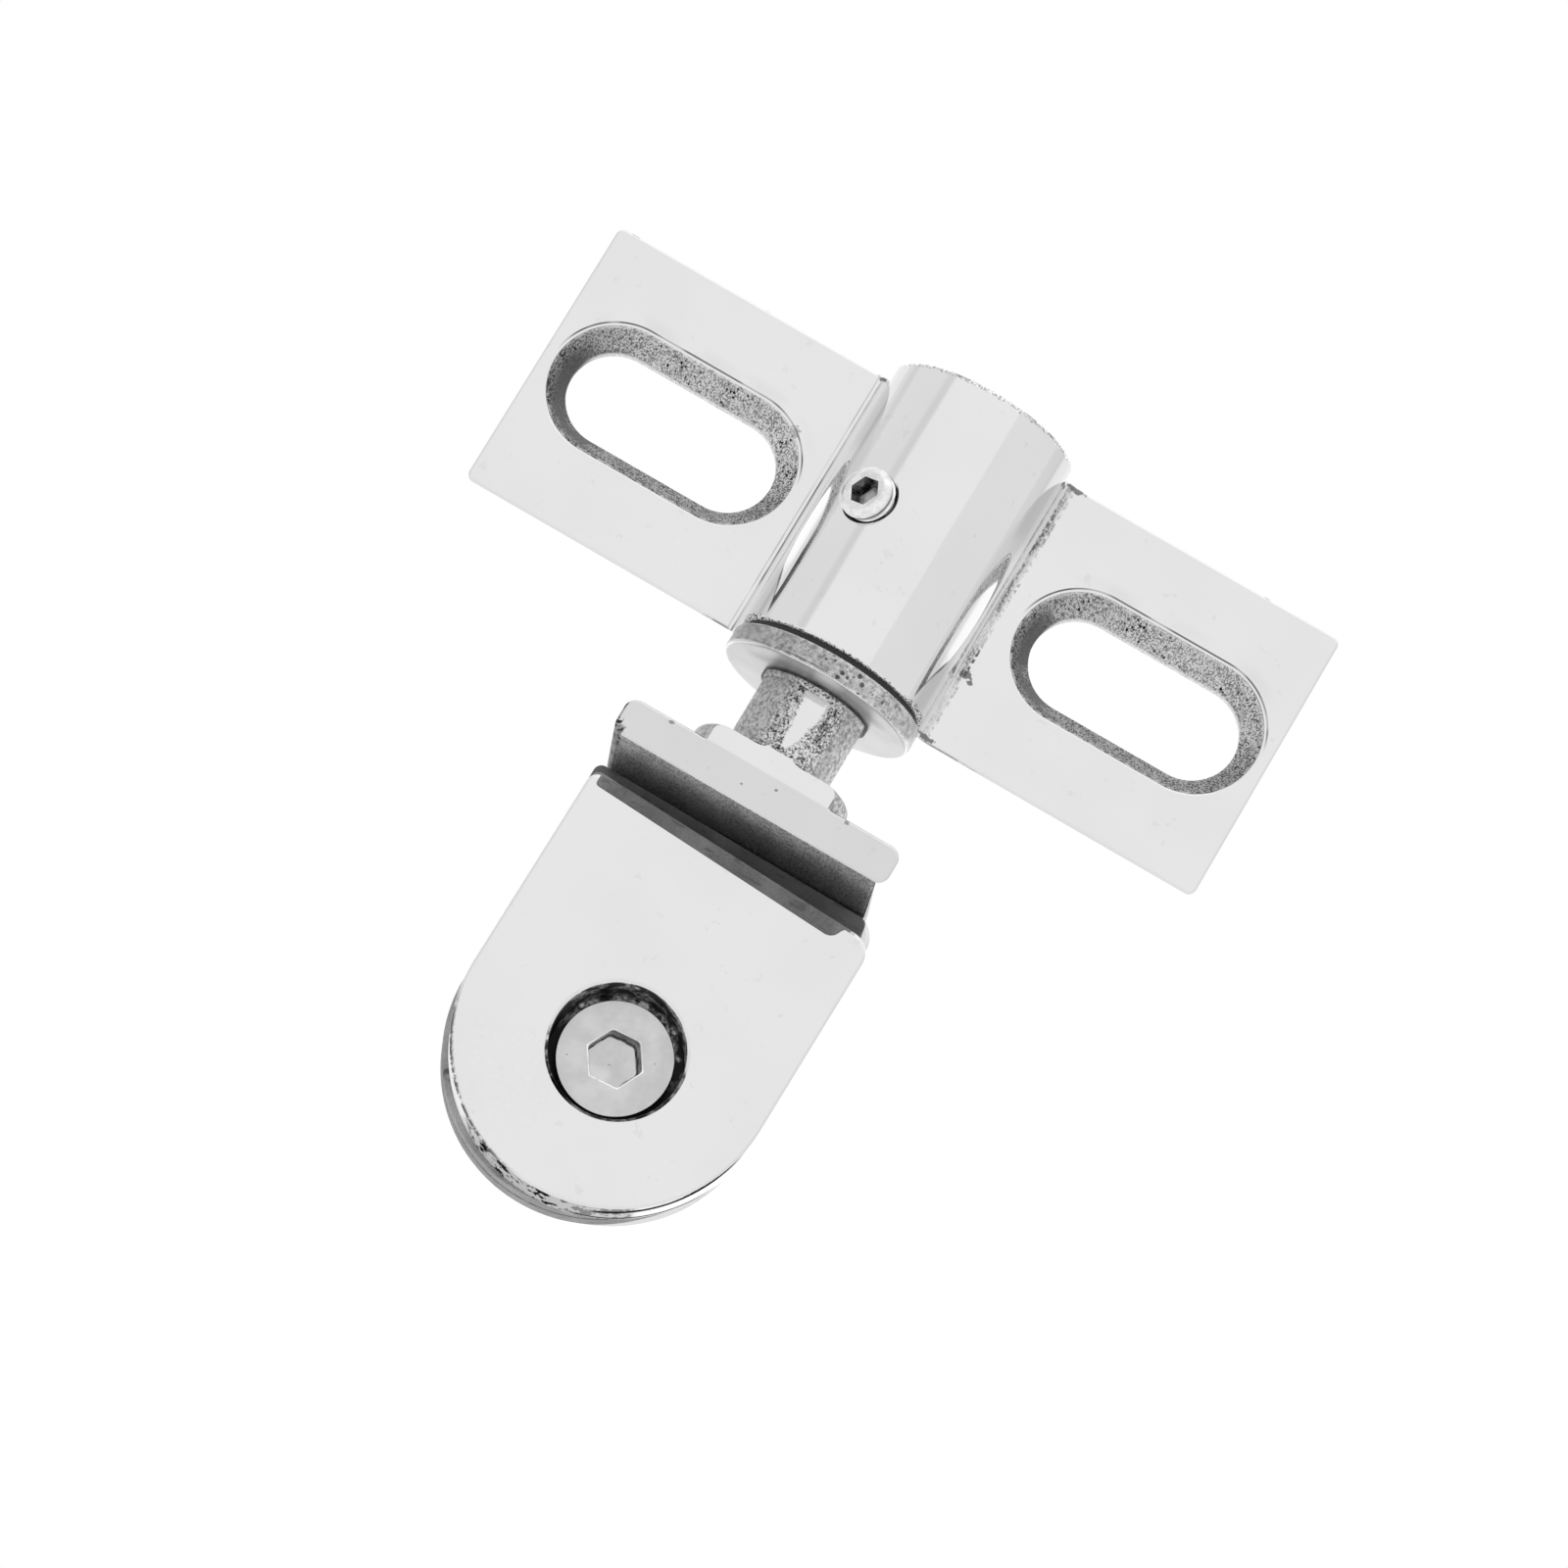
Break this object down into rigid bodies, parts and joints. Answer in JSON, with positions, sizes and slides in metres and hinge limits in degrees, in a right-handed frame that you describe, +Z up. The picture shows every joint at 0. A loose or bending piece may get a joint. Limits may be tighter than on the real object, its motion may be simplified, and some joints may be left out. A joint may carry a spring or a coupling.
{
  "type": "glass door hinge",
  "caption": "Wall bracket with two slotted ears and a vertical barrel; a glass clamp with a round-ended front plate and socket screw turns below it.",
  "frame": {"origin": "middle of the bracket's flat back, halfway up the bracket, on the plane of the wall and straight behind the pivot axis", "axes": "+X to the right in a front view, +Y from the front into the wall, +Z up along the pivot axis"},
  "size_m": [0.075, 0.0324, 0.0808],
  "materials": {
    "bracket_chrome": "polished plated casting",
    "clamp_chrome": "polished plated casting, cast skin inside",
    "plate_chrome": "polished plated casting",
    "washer_chrome": "polished",
    "screw_steel": "satin",
    "set_screw_steel": "satin",
    "pad_rubber": "matt",
    "friction_nylon": "matt",
    "bush_acetal": "matt"
  },
  "bodies": {
    "wall bracket": {"bracket": "bracket_chrome", "upper_bush": "bush_acetal", "lower_bush": "bush_acetal", "barrel_set_screw": "set_screw_steel", "friction_washer": "friction_nylon"},
    "swivel clamp": {"clamp_body": "clamp_chrome", "bearing_washer": "washer_chrome", "rear_pad": "pad_rubber"},
    "front jaw": {"front_plate": "plate_chrome", "front_pad": "pad_rubber", "clamp_screw": "screw_steel"}
  },
  "joints": [
    {"name": "pivot_swing", "type": "hinge", "parent": "wall bracket", "child": "swivel clamp", "pos_m": [0, -0.007, 0], "axis": [0, 0, 1], "continuous": true},
    {"name": "clamp_open", "type": "slide", "parent": "swivel clamp", "child": "front jaw", "axis": [0, -1, 0], "range_m": [0, 0.008]}
  ]
}
